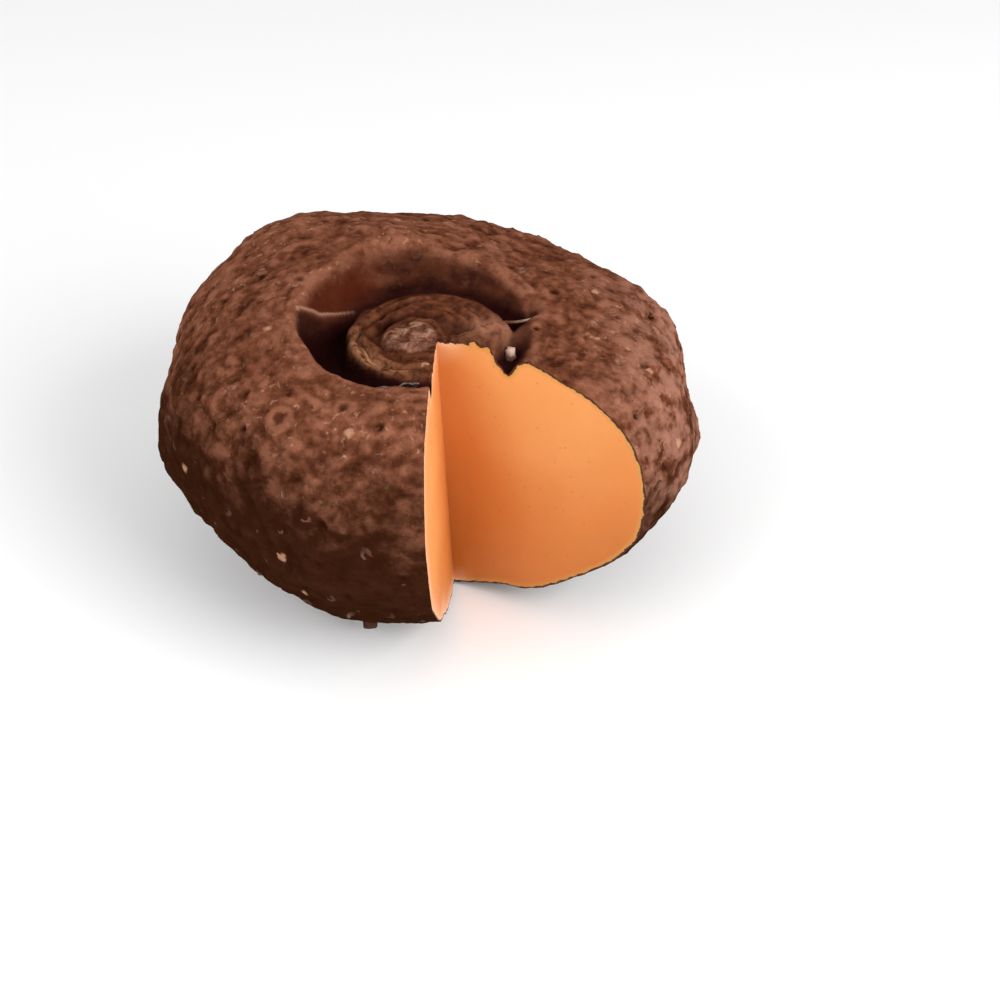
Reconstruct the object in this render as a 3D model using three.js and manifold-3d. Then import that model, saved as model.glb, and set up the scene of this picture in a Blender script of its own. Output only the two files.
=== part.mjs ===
// Elephant foot yam: one squat corm with a ring-shaped ditch round its crown, and a wedge cut out of it.
// Millimetres, +Z up. The origin is on the ground, under the middle of the corm.
import * as THREE from "three";
import { mergeVertices } from "three/addons/utils/BufferGeometryUtils.js";
import Module from "manifold-3d";

// The body is a rounded form about (0, 0, midHeight). Its power is higher where it is squarer.
const body = {
  radius: 123, // widest, seen from above
  topHeight: 143,
  midHeight: 70, // where it is widest
  topPower: 2.6,
  bottomPower: 1.75,
  sink: 4, // how far the round form would reach below the ground: it rests on that flat patch
};

// The skin's mesh has its upper pole on the crown, where its rows are this much closer together.
const mesh = { aroundSteps: 72, rows: 54, crownSpacing: 0.65 };

// Swellings and hollows of the body: azimuth, latitude and spread in degrees, height in millimetres.
const swellings = [
  { azimuth: 128, latitude: 42, spread: 24, height: 9 },
  { azimuth: 150, latitude: 20, spread: 22, height: 4 },
  { azimuth: 48, latitude: 35, spread: 26, height: -6 },
  { azimuth: 30, latitude: 22, spread: 12, height: 3.5 },
  { azimuth: 62, latitude: 30, spread: 10, height: 2 },
  { azimuth: -6, latitude: 2, spread: 11, height: 4 },
  { azimuth: -140, latitude: -26, spread: 22, height: -4 },
  { azimuth: -118, latitude: -38, spread: 14, height: 3 },
  { azimuth: -60, latitude: -30, spread: 25, height: -3 },
  { azimuth: 195, latitude: -12, spread: 16, height: -3 },
  { azimuth: -28, latitude: 55, spread: 16, height: -9 },
  { azimuth: 200, latitude: 28, spread: 20, height: 2 },
  { azimuth: 132, latitude: 33, spread: 8, height: 6.5 },
  { azimuth: 85, latitude: 35, spread: 8, height: 2.2 },
  { azimuth: 0, latitude: 9, spread: 7, height: -3.5 },
  { azimuth: 17, latitude: 18, spread: 7, height: 4 },
  { azimuth: 176, latitude: 13, spread: 7, height: -3 },
  { azimuth: 159, latitude: 17, spread: 7, height: 2.2 },
  { azimuth: -168, latitude: 0, spread: 8, height: 3.5 },
  { azimuth: -136, latitude: -7, spread: 8, height: -2.2 },
  { azimuth: -110, latitude: -20, spread: 10, height: 2.8 },
  { azimuth: -48, latitude: -33, spread: 8, height: 1.5 },
];

// The crown, seen from above: a ditch, then a low mound that carries the bud's scar.
const crown = {
  x: -4,
  y: -14,
  rimRadius: 54, // where the ditch starts
  floorRadius: 45,
  moundRadius: 42,
  moundTopRadius: 33,
  floorHeight: 125,
  edgeHeight: 129.5, // the mound's, where its side starts
  middleHeight: 132,
  startHeight: 90, // only skin above this is shaped by the crown
};
const bud = { x: -5.5, y: -15.5, radius: 12.5, height: 3.5 };

// The wedge: an upright triangle whose inner edge leans from the bud's side towards the front.
const wedge = {
  innerEdgeBottom: { x: 11, y: -35 },
  innerEdgeTop: { x: 5, y: -23, z: 130 },
  narrowFaceAzimuth: -92.5, // degrees, the way each cut face runs outwards
  wideFaceAzimuth: -28,
  reach: 280,
  bottom: -20,
  top: 180,
};

// The stub of a thick root, under the front.
const rootStub = { x: -27, y: -64, z: 13, lean: 30, length: 11.5, tipRadius: 3, baseRadius: 4.2, sides: 12 };

const skinMaterial = new THREE.MeshStandardMaterial({ color: "#71412f", roughness: 0.85, metalness: 0 });

const wasm = await Module();
wasm.setup();

function unitVector(azimuth, latitude) {
  const polar = THREE.MathUtils.degToRad(90 - latitude);
  const turn = THREE.MathUtils.degToRad(azimuth);
  return new THREE.Vector3(Math.sin(polar) * Math.cos(turn), Math.sin(polar) * Math.sin(turn), Math.cos(polar));
}

// The rounded form's distance from its middle in one direction, before its swellings.
function bodyRadius(direction) {
  const upper = direction.z > 0;
  const power = upper ? body.topPower : body.bottomPower;
  const halfHeight = upper ? body.topHeight - body.midHeight : body.midHeight + body.sink;
  const across = Math.hypot(direction.x, direction.y) / body.radius;
  const upwards = Math.abs(direction.z) / halfHeight;
  return (across ** power + upwards ** power) ** (-1 / power);
}

const swellingDirections = swellings.map((s) => unitVector(s.azimuth, s.latitude));

function swellingHeight(direction) {
  return swellings.reduce((sum, { spread, height }, i) => {
    const away = THREE.MathUtils.radToDeg(direction.angleTo(swellingDirections[i]));
    return sum + height * Math.exp(-0.5 * (away / spread) ** 2);
  }, 0);
}

// The height of the crown's skin at one place, from the height the plain body would have there.
function crownHeight(x, y, plainHeight) {
  const { smoothstep, lerp } = THREE.MathUtils;
  const fromCrown = Math.hypot(x - crown.x, y - crown.y);
  const fromBud = Math.hypot(x - bud.x, y - bud.y);
  const inDitch = 1 - smoothstep(fromCrown, crown.floorRadius, crown.rimRadius);
  const onMound = 1 - smoothstep(fromCrown, crown.moundTopRadius, crown.moundRadius);
  const inMiddle = 1 - smoothstep(fromCrown, bud.radius, crown.moundTopRadius);
  const dome = bud.height * Math.sqrt(Math.max(0, 1 - (fromBud / bud.radius) ** 2));
  const ditch = lerp(plainHeight, crown.floorHeight, inDitch);
  const mound = lerp(crown.edgeHeight, crown.middleHeight, inMiddle) + dome;
  return lerp(ditch, mound, onMound);
}

// The skin's point in one direction from the body's middle.
function skinPoint(direction) {
  const point = direction.clone().multiplyScalar(bodyRadius(direction) + swellingHeight(direction));
  point.z += body.midHeight;
  if (point.z > crown.startHeight) point.z = crownHeight(point.x, point.y, point.z);
  point.z = Math.max(point.z, 0);
  return point;
}

// A closed geometry as a solid, with its shared corners merged.
function solidOf(geometry) {
  const positions = new THREE.BufferGeometry();
  positions.setAttribute("position", geometry.getAttribute("position"));
  positions.setIndex(geometry.getIndex());
  const merged = mergeVertices(positions, 1e-4);
  const triVerts = new Uint32Array(merged.getIndex().array);
  const vertProperties = merged.getAttribute("position").array;
  return new wasm.Manifold(new wasm.Mesh({ numProp: 3, vertProperties, triVerts }));
}

function geometryOf(solid) {
  const { vertProperties, triVerts } = solid.getMesh();
  const geometry = new THREE.BufferGeometry();
  geometry.setAttribute("position", new THREE.BufferAttribute(vertProperties, 3));
  geometry.setIndex(new THREE.BufferAttribute(triVerts, 1));
  geometry.computeVertexNormals();
  return geometry;
}

// A direction of the mesh's grid: its rows are rings round the crown above, and level rings below.
function gridDirection(fromPole, turn) {
  const spaced = fromPole * THREE.MathUtils.lerp(mesh.crownSpacing, 1, fromPole / Math.PI);
  const towardsCrown = Math.max(Math.cos(spaced), 0) / (body.topHeight - body.midHeight);
  const across = Math.sin(spaced);
  return new THREE.Vector3(
    across * Math.cos(turn) + crown.x * towardsCrown,
    across * Math.sin(turn) + crown.y * towardsCrown,
    Math.cos(spaced),
  ).normalize();
}

function makeBody() {
  const geometry = new THREE.SphereGeometry(1, mesh.aroundSteps, mesh.rows);
  geometry.rotateX(Math.PI / 2);
  const position = geometry.getAttribute("position");
  for (let i = 0; i < position.count; i++) {
    const fromPole = Math.acos(THREE.MathUtils.clamp(position.getZ(i), -1, 1));
    const turn = Math.atan2(position.getY(i), position.getX(i));
    const { x, y, z } = skinPoint(gridDirection(fromPole, turn));
    position.setXYZ(i, x, y, z);
  }
  return solidOf(geometry);
}

function makeWedge() {
  const { innerEdgeBottom: low, innerEdgeTop: high, reach } = wedge;
  const outline = new THREE.Shape();
  outline.moveTo(low.x, low.y);
  for (const azimuth of [wedge.narrowFaceAzimuth, wedge.wideFaceAzimuth]) {
    const turn = THREE.MathUtils.degToRad(azimuth);
    outline.lineTo(low.x + reach * Math.cos(turn), low.y + reach * Math.sin(turn));
  }
  const geometry = new THREE.ExtrudeGeometry(outline, { depth: wedge.top - wedge.bottom, bevelEnabled: false });
  geometry.translate(0, 0, wedge.bottom);
  const leanX = (high.x - low.x) / high.z;
  const leanY = (high.y - low.y) / high.z;
  geometry.applyMatrix4(new THREE.Matrix4().makeShear(0, 0, 0, 0, leanX, leanY));
  return solidOf(geometry);
}

function makeRootStub() {
  const { tipRadius, baseRadius, length, sides } = rootStub;
  const geometry = new THREE.CylinderGeometry(baseRadius, tipRadius, length, sides);
  geometry.rotateX(Math.PI / 2);
  geometry.rotateX(THREE.MathUtils.degToRad(-rootStub.lean));
  geometry.translate(rootStub.x, rootStub.y, rootStub.z);
  return solidOf(geometry);
}

const cormSolid = makeBody().add(makeRootStub()).subtract(makeWedge());
const corm = new THREE.Mesh(geometryOf(cormSolid), skinMaterial);
corm.name = "corm";

const group = new THREE.Group();
group.add(corm);
export default group;
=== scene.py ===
import math
import bmesh
import bpy
import numpy as np
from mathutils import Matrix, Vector
from mathutils.bvhtree import BVHTree
from mathutils.kdtree import KDTree


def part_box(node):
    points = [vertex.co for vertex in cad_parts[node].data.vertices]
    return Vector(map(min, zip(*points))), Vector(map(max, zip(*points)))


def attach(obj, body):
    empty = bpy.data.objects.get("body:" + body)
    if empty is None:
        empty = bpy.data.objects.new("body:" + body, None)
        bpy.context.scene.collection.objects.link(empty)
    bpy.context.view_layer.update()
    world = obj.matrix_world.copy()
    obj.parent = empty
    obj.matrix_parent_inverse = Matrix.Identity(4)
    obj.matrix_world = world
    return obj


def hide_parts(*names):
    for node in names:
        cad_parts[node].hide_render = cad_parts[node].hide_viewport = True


# An elephant foot yam corm, standing on its base with a wedge cut out of it. Metres, +Z up.
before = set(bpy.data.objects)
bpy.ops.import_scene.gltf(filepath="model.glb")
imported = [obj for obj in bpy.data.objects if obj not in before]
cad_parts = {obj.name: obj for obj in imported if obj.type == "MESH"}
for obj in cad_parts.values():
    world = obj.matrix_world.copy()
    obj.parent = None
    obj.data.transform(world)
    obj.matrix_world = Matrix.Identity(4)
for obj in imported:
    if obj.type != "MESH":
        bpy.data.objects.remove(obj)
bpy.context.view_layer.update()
cadLow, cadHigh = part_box("corm")
cormWidth = cadHigh[0] - cadLow[0]
cormHeight = cadHigh[2] - cadLow[2]
print("frame loaded")


cormBody = dict(
    radius=0.4949 * cormWidth,      # widest, seen from above
    topHeight=0.971 * cormHeight,
    midHeight=0.475 * cormHeight,   # where it is widest
    topPower=2.6,                   # higher is squarer
    bottomPower=1.75,
    sink=0.004,                     # how far the round form would reach below the ground
    aroundSteps=486,                # columns of the skin's grid
    rows=204,                       # rows from the crown to the base
    crownSpacing=0.62,              # how close together the rows are at the crown
)
swellings = [                       # azimuth, latitude and spread in degrees, then height
    (128, 42, 24, 0.009), (150, 20, 22, 0.004), (48, 35, 26, -0.006), (30, 22, 12, 0.0035),
    (62, 30, 10, 0.002), (-6, 2, 11, 0.004), (-140, -26, 22, -0.004), (-118, -38, 14, 0.003),
    (-60, -30, 25, -0.003), (195, -12, 16, -0.003), (-28, 55, 16, -0.009), (200, 28, 20, 0.002),
    (132, 33, 8, 0.0065), (85, 35, 8, 0.0022), (0, 9, 7, -0.0035), (17, 18, 7, 0.0040),
    (176, 13, 7, -0.0030), (159, 17, 7, 0.0022), (-168, 0, 8, 0.0035), (-136, -7, 8, -0.0022),
    (-110, -20, 10, 0.0028), (-48, -33, 8, 0.0015),
]
crown = dict(
    centre=(-0.0032, -0.0150),
    rimRadius=0.0552,               # where the ditch starts
    floorRadius=0.0450,
    backSlope=0.0070,               # the rim slopes in more gently at the back
    moundCentre=(0.000, -0.0165),
    moundRadius=0.0388,
    moundTopRadius=0.0340,
    moundTilt=0.055,                # the mound is higher towards +X
    floorHeight=0.1252,
    backFloorRise=0.0035,
    edgeHeight=0.1288,              # the mound's, where its side starts
    middleHeight=0.1306,
    startHeight=0.090,              # only skin above this is shaped by the crown
    ledgeEdge=(-0.0340, 0.0012),    # the ditch's left end is stepped along a line from here
    ledgeSkew=0.66,
    ledgeHeight=0.1287,             # at the mound; it rises to the rim
    ledgeSlope=0.42,
    hollowDepth=0.0085,             # the ditch is deepest in front of the step
    hollowTurn=-172,
    fineRingSpacing=0.0041,
    fineRingHeight=0.00032,
)
crownRings = [                      # radius, half width, height, turn where it is strongest, least share
    (0.0322, 0.0021, 0.0020, -140, 0.30), (0.0284, 0.0015, -0.0016, 170, 0.45),
    (0.0250, 0.0017, 0.0016, 125, 0.45), (0.0212, 0.0012, -0.0012, -80, 0.35),
]
crownDimples = [                    # x, y, half width, height
    (0.0142, -0.0118, 0.0056, -0.0070), (0.0285, -0.0255, 0.0118, 0.0060),
    (0.0415, -0.0030, 0.0050, -0.0050), (0.0480, -0.0010, 0.0036, -0.0050),
    (0.0430, -0.0175, 0.0060, 0.0050), (0.0368, -0.0310, 0.0034, -0.0040),
    (0.0360, -0.0395, 0.0030, -0.0028), (-0.0150, 0.0060, 0.0040, -0.0012),
]
bud = dict(
    centre=(-0.0066, -0.0198),
    radius=0.0120,
    height=0.0014,
    dipRadius=0.0060,               # its middle is a little sunken
    dipDepth=0.0010,
)
trough = dict(                      # round the back of the bud
    centre=(-0.0062, -0.0150),
    radius=0.0152,
    depth=0.0058,
    halfWidth=0.0022,
    shadeHalfWidth=0.0032,
    turn=112,                       # degrees, where it is deepest
    spread=68,
    leastShare=0.12,                # of its depth, on the other side
)
lump = dict(centre=(0.0275, -0.0165), halfWidth=0.0105)     # a paler swelling beside the bud
skinMarks = [                       # azimuth and latitude in degrees, radius, kind
    (-128, 30, 0.0050, "ring"), (62, 24, 0.0042, "ring"), (150, 14, 0.0046, "ring"),
    (-110, 13, 0.0025, "pit"), (-131, 19, 0.0022, "pit"), (-136, 25, 0.0017, "pit"),
    (-19, 50, 0.0017, "pit"), (9, 25, 0.0019, "pit"), (-31, 22, 0.0020, "pit"), (100, 20, 0.0023, "pit"),
    (-170, 5, 0.0021, "pit"), (40, 5, 0.0023, "pit"), (-151, 8, 0.0026, "cork"), (-109, 32, 0.0023, "cork"),
    (-108, 27, 0.0014, "cork"), (-119, 3, 0.0023, "cork"), (15, 37, 0.0016, "cork"),
    (-13, 37, 0.0014, "cork"), (-16, 25, 0.0015, "cork"), (-22, 10, 0.0024, "cork"),
    (-159, 43, 0.0024, "cork"), (48, 47, 0.0016, "cork"), (-115, -6, 0.0020, "cork"),
    (118, 4, 0.0024, "cork"), (82, 40, 0.0017, "cork"), (175, -8, 0.0021, "cork"),
    (-89, 59.5, 0.0017, "cork"),
]


def smoothStep(value, start, end):
    share = np.clip((value - start) / (end - start), 0, 1)
    return share * share * (3 - 2 * share)


def mix(first, second, share):
    return first + (second - first) * share


def bell(value, middle, halfWidth):
    return np.exp(-((value - middle) / halfWidth) ** 2)


def turnBell(turn, middle, halfWidth):
    away = (turn - middle + 180) % 360 - 180
    return bell(away, 0, halfWidth)


def unitVector(azimuth, latitude):
    azimuth, latitude = math.radians(azimuth), math.radians(latitude)
    flat = math.cos(latitude)
    return np.array([flat * math.cos(azimuth), flat * math.sin(azimuth), math.sin(latitude)])


def bodyRadius(directions):
    upper = directions[:, 2] > 0
    power = np.where(upper, cormBody["topPower"], cormBody["bottomPower"])
    above = cormBody["topHeight"] - cormBody["midHeight"]
    below = cormBody["midHeight"] + cormBody["sink"]
    across = np.hypot(directions[:, 0], directions[:, 1]) / cormBody["radius"]
    upwards = np.abs(directions[:, 2]) / np.where(upper, above, below)
    return (across ** power + upwards ** power) ** (-1 / power)


def swellingHeight(directions):
    height = np.zeros(len(directions))
    for azimuth, latitude, spread, most in swellings:
        away = np.degrees(np.arccos(np.clip(directions @ unitVector(azimuth, latitude), -1, 1)))
        height += most * np.exp(-0.5 * (away / spread) ** 2)
    return height


def ringWave(fromMound, turn, uneven):
    shifted = fromMound + 0.7 * uneven + 0.0010 * np.sin(np.radians(2 * turn) + 1.0)
    fading = 0.55 + 0.45 * np.sin(np.radians(3 * turn) + 260 * fromMound)
    return fading * np.sin(2 * np.pi * shifted / crown["fineRingSpacing"])


def moundHeight(x, y, fromMound, turn, inMiddle, uneven):
    height = mix(crown["edgeHeight"], crown["middleHeight"], inMiddle) + crown["moundTilt"] * x
    ringPlace = fromMound + 0.7 * uneven + 0.0007 * np.sin(np.radians(7 * turn) + 1.3)
    for radius, halfWidth, most, strongest, least in crownRings:
        share = least + (1 - least) * (0.5 + 0.5 * np.cos(np.radians(turn - strongest)))
        height += most * share * bell(ringPlace, radius, halfWidth)
    budX, budY = x - bud["centre"][0], y - bud["centre"][1]
    budTurn = np.degrees(np.arctan2(budY, budX))
    fromBud = np.hypot(budX, 1.06 * budY) * (1 + 0.05 * np.sin(np.radians(3 * budTurn) + 0.8))
    clearOfBud = smoothStep(fromBud, 0.012, 0.016)
    height += crown["fineRingHeight"] * ringWave(fromMound, turn, uneven) * clearOfBud
    height += bud["height"] * np.sqrt(np.maximum(0, 1 - (fromBud / bud["radius"]) ** 2))
    height -= bud["dipDepth"] * bell(fromBud, 0, bud["dipRadius"])
    troughX, troughY = x - trough["centre"][0], y - trough["centre"][1]
    fromTrough = np.hypot(troughX, troughY) - trough["radius"]
    atDeepest = turnBell(np.degrees(np.arctan2(troughY, troughX)), trough["turn"], trough["spread"])
    depthShare = trough["leastShare"] + (1 - trough["leastShare"]) * atDeepest
    height -= trough["depth"] * depthShare * bell(fromTrough, 0, trough["halfWidth"])
    # the third value is the mask for painted shade in the trough round the back of the bud
    return height, fromBud, depthShare * bell(fromTrough, 0.0004, trough["shadeHalfWidth"])


def crownForm(x, y, plainHeight):
    # The skin's height in the crown, and how much each place is ditch, wall, ledge, mound and so on, with
    # masks for painted shade in the ditch and hollows and painted highlights on the crest and along the
    # step's edge.
    fromX, fromY = x - crown["centre"][0], y - crown["centre"][1]
    angle = np.arctan2(fromY, fromX)
    turn = np.degrees(angle)
    uneven = 0.0013 * np.sin(3 * angle + 0.6) + 0.0009 * np.sin(5 * angle + 2.0)
    uneven = uneven + 0.0006 * np.sin(11 * angle)
    fromCrown = np.hypot(fromX, fromY)
    fromMound = np.hypot(x - crown["moundCentre"][0], y - crown["moundCentre"][1])
    topRadius, footRadius = crown["moundTopRadius"], crown["moundRadius"]
    moundEdge = fromMound - 0.6 * uneven
    atBack = turnBell(turn, 80, 65)
    floorRadius = crown["floorRadius"] - crown["backSlope"] * atBack
    inDitch = 1 - smoothStep(fromCrown + uneven, floorRadius, crown["rimRadius"])
    onMound = 1 - smoothStep(moundEdge, topRadius, footRadius)
    inMiddle = 1 - smoothStep(fromMound, bud["radius"], topRadius)
    pastEdge = y - crown["ledgeEdge"][1] - crown["ledgeSkew"] * (x - crown["ledgeEdge"][0])
    onLedge = smoothStep(pastEdge, -0.0048, 0.0006) * smoothStep(np.abs(turn), 98, 140)
    ledge = crown["ledgeHeight"] + crown["ledgeSlope"] * np.maximum(fromCrown - topRadius, 0)
    floor = crown["floorHeight"] + crown["backFloorRise"] * atBack
    floor = mix(floor - crown["hollowDepth"] * turnBell(turn, crown["hollowTurn"], 42), ledge, onLedge)
    mound, fromBud, troughShade = moundHeight(x, y, fromMound, turn, inMiddle, uneven)
    height = mix(mix(plainHeight, floor, inDitch), mound, onMound)
    # painted shade in the trough behind the bud and in the sunken dimples
    shadedHollow = troughShade * onMound
    for dimpleX, dimpleY, halfWidth, most in crownDimples:
        share = bell(np.hypot(x - dimpleX, y - dimpleY), 0, halfWidth)
        height = height + most * share
        if most < 0:
            shadedHollow = np.maximum(shadedHollow, share * min(1, most / -0.005))
    outside = (1 - onMound) * np.minimum(1, 3 * inDitch)
    # painted shadow under the step's overhang, at the ditch's left end
    shadowUnderStep = (1 - smoothStep(pastEdge, -0.0008, 0.0004)) * turnBell(turn, crown["hollowTurn"], 30)
    shadedHollow = np.maximum(shadedHollow, shadowUnderStep * smoothStep(inDitch, 0.02, 0.30) * (1 - onMound))
    moundSide = smoothStep(moundEdge, topRadius - 0.0010, topRadius + 0.0018)
    inShade = (1 - smoothStep(height, 0.1270, 0.1325)) * moundSide * np.minimum(1, 3 * inDitch)
    onLump = bell(np.hypot(x - lump["centre"][0], y - lump["centre"][1]), 0, lump["halfWidth"])
    # ditch is painted shade, nearly black; crest and ledgeHighlight are painted highlights
    places = dict(
        ditch=np.maximum(inShade, 0.9 * shadedHollow * (1 - 0.5 * onLump)),
        wall=smoothStep(inDitch, 0.01, 0.42) * (1 - onMound) * (1 - 0.85 * onLedge),
        ledge=onLedge * smoothStep(inDitch, 0.05, 0.6) * (1 - onMound),
        ledgeHighlight=bell(pastEdge, 0.0012, 0.0006) * smoothStep(np.abs(turn), 146, 150) * outside,
        mound=onMound,
        litCrest=bell(fromMound + 0.7 * uneven, 0.0302, 0.0036) * turnBell(turn, -140, 36),
        rings=0.5 + 0.5 * ringWave(fromMound, turn, uneven),
        lump=onLump,
        bud=1 - smoothStep(fromBud, 0.0108, 0.0128),
    )
    return height, places


def skinForm(directions):
    # Points of the skin, and the places on the crown.
    points = directions * (bodyRadius(directions) + swellingHeight(directions))[:, None]
    height = points[:, 2] + cormBody["midHeight"]
    onTop = height > crown["startHeight"]
    shaped, places = crownForm(points[:, 0], points[:, 1], height)
    points[:, 2] = np.maximum(np.where(onTop, shaped, height), 0)
    return points, {name: share * onTop for name, share in places.items()}


def markPoint(mark):
    return skinForm(unitVector(mark[0], mark[1])[None, :])[0][0]


def addMarks(points, directions):
    # Pits sink in, corky marks stand up, and ring scars are both.
    for mark in skinMarks:
        away = np.linalg.norm(points - markPoint(mark), axis=1)
        radius, kind = mark[2], mark[3]
        if kind == "ring":
            rise = 0.0011 * bell(away, radius, 0.0012) - 0.0009 * bell(away, 0, 0.6 * radius)
        elif kind == "pit":
            rise = -0.0021 * bell(away, 0, radius)
        else:
            rise = 0.0008 * bell(away, 0, radius)
        points += directions * rise[:, None]


def gridDirections(fromPole, turn):
    spaced = fromPole * mix(cormBody["crownSpacing"], 1, fromPole / math.pi)
    towardsCrown = np.maximum(np.cos(spaced), 0) / (cormBody["topHeight"] - cormBody["midHeight"])
    directions = np.stack([
        np.sin(spaced) * np.cos(turn) + crown["centre"][0] * towardsCrown,
        np.sin(spaced) * np.sin(turn) + crown["centre"][1] * towardsCrown,
        np.cos(spaced),
    ], axis=1)
    return directions / np.linalg.norm(directions, axis=1)[:, None]


# Small helpers for meshes and node trees.
def newObject(name, points, faces, materials=()):
    mesh = bpy.data.meshes.new(name)
    mesh.from_pydata([tuple(p) for p in points], [], faces)
    mesh.update()
    for material in materials:
        mesh.materials.append(material)
    made = bpy.data.objects.new(name, mesh)
    bpy.context.scene.collection.objects.link(made)
    return made


def shadeSmooth(made):
    made.data.polygons.foreach_set("use_smooth", [True] * len(made.data.polygons))


def addAttribute(made, name, values):
    layer = made.data.attributes.new(name, "FLOAT", "POINT")
    layer.data.foreach_set("value", np.asarray(values, np.float32))


def addNode(tree, kind, inputs=None, **settings):
    node = tree.nodes.new(kind)
    for name, value in settings.items():
        setattr(node, name, value)
    for key, value in (inputs or {}).items():
        if isinstance(value, bpy.types.NodeSocket):
            tree.links.new(value, node.inputs[key])
        else:
            node.inputs[key].default_value = value
    return node


def calc(tree, operation, first, second=0.0, clamp=False):
    values = {0: first, 1: second}
    return addNode(tree, "ShaderNodeMath", values, operation=operation, use_clamp=clamp).outputs[0]


def times(tree, first, *others):
    for other in others:
        first = calc(tree, "MULTIPLY", first, other)
    return first


def plus(tree, first, *others):
    for other in others:
        first = calc(tree, "ADD", first, other)
    return first


def vectorCalc(tree, operation, first, second=(0, 0, 0), output="Vector"):
    node = addNode(tree, "ShaderNodeVectorMath", {0: first, 1: second}, operation=operation)
    return node.outputs[output]


def scaled(tree, vector, factor):
    node = addNode(tree, "ShaderNodeVectorMath", {0: vector, "Scale": factor}, operation="SCALE")
    return node.outputs["Vector"]


def noise(tree, position, size, detail=2.0, roughness=0.5, distortion=0.0, output=0):
    values = {"Vector": position, "Scale": 1 / size, "Detail": detail, "Roughness": roughness,
              "Distortion": distortion}
    return addNode(tree, "ShaderNodeTexNoise", values).outputs[output]


def mapRange(tree, value, low, high, outLow=0.0, outHigh=1.0):
    values = {"Value": value, "From Min": low, "From Max": high, "To Min": outLow, "To Max": outHigh}
    return addNode(tree, "ShaderNodeMapRange", values, interpolation_type="SMOOTHSTEP").outputs["Result"]


def groupInput(tree, name, kind, value):
    socket = tree.interface.new_socket(name, in_out="INPUT", socket_type=kind)
    socket.default_value = value
    return socket.identifier


def shake(tree, place, size, detail, most):
    # A small move to any side, by noise.
    moved = vectorCalc(tree, "SUBTRACT", noise(tree, place, size, detail, output="Color"), (0.5, 0.5, 0.5))
    return scaled(tree, moved, most)


def takeResult(made):
    # The evaluated mesh becomes the piece's own, and its modifiers go.
    bpy.context.view_layer.update()
    depsgraph = bpy.context.evaluated_depsgraph_get()
    result = bpy.data.meshes.new_from_object(
        made.evaluated_get(depsgraph), preserve_all_data_layers=True, depsgraph=depsgraph)
    made.modifiers.clear()
    made.data = result


def addNodesModifier(made, tree, values):
    modifier = made.modifiers.new(tree.name, "NODES")
    modifier.node_group = tree
    for identifier, value in values.items():
        modifier[identifier] = value


def newMaterial(name):
    material = bpy.data.materials.new(name)
    material.use_nodes = True
    tree = material.node_tree
    return material, tree, tree.nodes["Principled BSDF"]


def ramp(tree, factor, stops):
    node = addNode(tree, "ShaderNodeValToRGB", {"Fac": factor})
    elements = node.color_ramp.elements
    while len(elements) < len(stops):
        elements.new(0.5)
    for element, (place, colour) in zip(elements, stops):
        element.position = place
        element.color = (*colour, 1)
    return node.outputs["Color"]


def blend(tree, factor, first, second):
    node = addNode(tree, "ShaderNodeMix", data_type="RGBA")
    for key, value in ((0, factor), (6, first), (7, second)):
        if isinstance(value, bpy.types.NodeSocket):
            tree.links.new(value, node.inputs[key])
        else:
            node.inputs[key].default_value = value if key == 0 else (*value, 1)
    return node.outputs[2]


def attribute(tree, name):
    return addNode(tree, "ShaderNodeAttribute", attribute_name=name).outputs["Fac"]


def tinted(tree, colour, name, share, other):
    # The other colour where the skin has the named attribute, up to a share.
    return blend(tree, times(tree, attribute(tree, name), share), colour, other)


def addBump(tree, shader, relief, strength):
    bump = addNode(tree, "ShaderNodeBump", {"Height": relief, "Strength": strength, "Distance": 1.0})
    tree.links.new(bump.outputs[0], shader.inputs["Normal"])


skinLook = dict(
    pale=(0.230, 0.086, 0.049),
    middle=(0.124, 0.040, 0.0195),
    dark=(0.050, 0.0135, 0.0065),
    # dark soil colour, also used for painted shade in hollows and over the lower part
    soilAndShade=(0.021, 0.0060, 0.0022),
    cork=(0.42, 0.215, 0.130),
    # nearly black, for painted shade in the ditch and hollows
    ditch=(0.0130, 0.0026, 0.0026),
    wall=(0.046, 0.0120, 0.0048),
    wallDark=(0.024, 0.0062, 0.0048),
    ledge=(0.056, 0.0105, 0.0040),
    moundDark=(0.040, 0.0110, 0.0050),
    moundLight=(0.150, 0.047, 0.021),
    # colour for the painted highlight on the mound's crest
    litCrest=(0.44, 0.205, 0.098),
    lump=(0.400, 0.165, 0.098),
    bud=(0.150, 0.060, 0.036),
    budLip=(0.36, 0.190, 0.125),
    # paler colour for painted light towards +X
    litSide=(0.340, 0.165, 0.118),
    soilShadeTilt=0.17,          # soil and painted shade reach higher up on the side away from +X
    soilShadeFront=0.20,         # and towards -Y
    soilShadeTop=0.121,
    soilShadeBottom=0.058,
    soilShadeShare=0.93,
)


def addMarkColours(tree, place, colour):
    look = skinLook
    shaken = vectorCalc(tree, "ADD", place, shake(tree, place, 0.003, 2, 0.004))
    for mark in skinMarks:
        away = vectorCalc(tree, "DISTANCE", shaken, tuple(markPoint(mark)), "Value")
        radius, kind = mark[2], mark[3]
        if kind == "ring":
            inside = mapRange(tree, away, 0.85 * radius, 0.45 * radius, 0, 0.55)
            colour = blend(tree, inside, colour, look["dark"])
            onRing = times(tree, mapRange(tree, away, 0.70 * radius, radius),
                           mapRange(tree, away, 1.45 * radius, 1.05 * radius, 0, 0.65))
            colour = blend(tree, onRing, colour, look["pale"])
        elif kind == "pit":
            inside = mapRange(tree, away, 1.25 * radius, 0.5 * radius, 0, 0.92)
            colour = blend(tree, inside, colour, look["soilAndShade"])
        else:
            inside = mapRange(tree, away, 1.20 * radius, 0.5 * radius, 0, 0.80)
            colour = blend(tree, inside, colour, look["cork"])
    return colour


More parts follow.
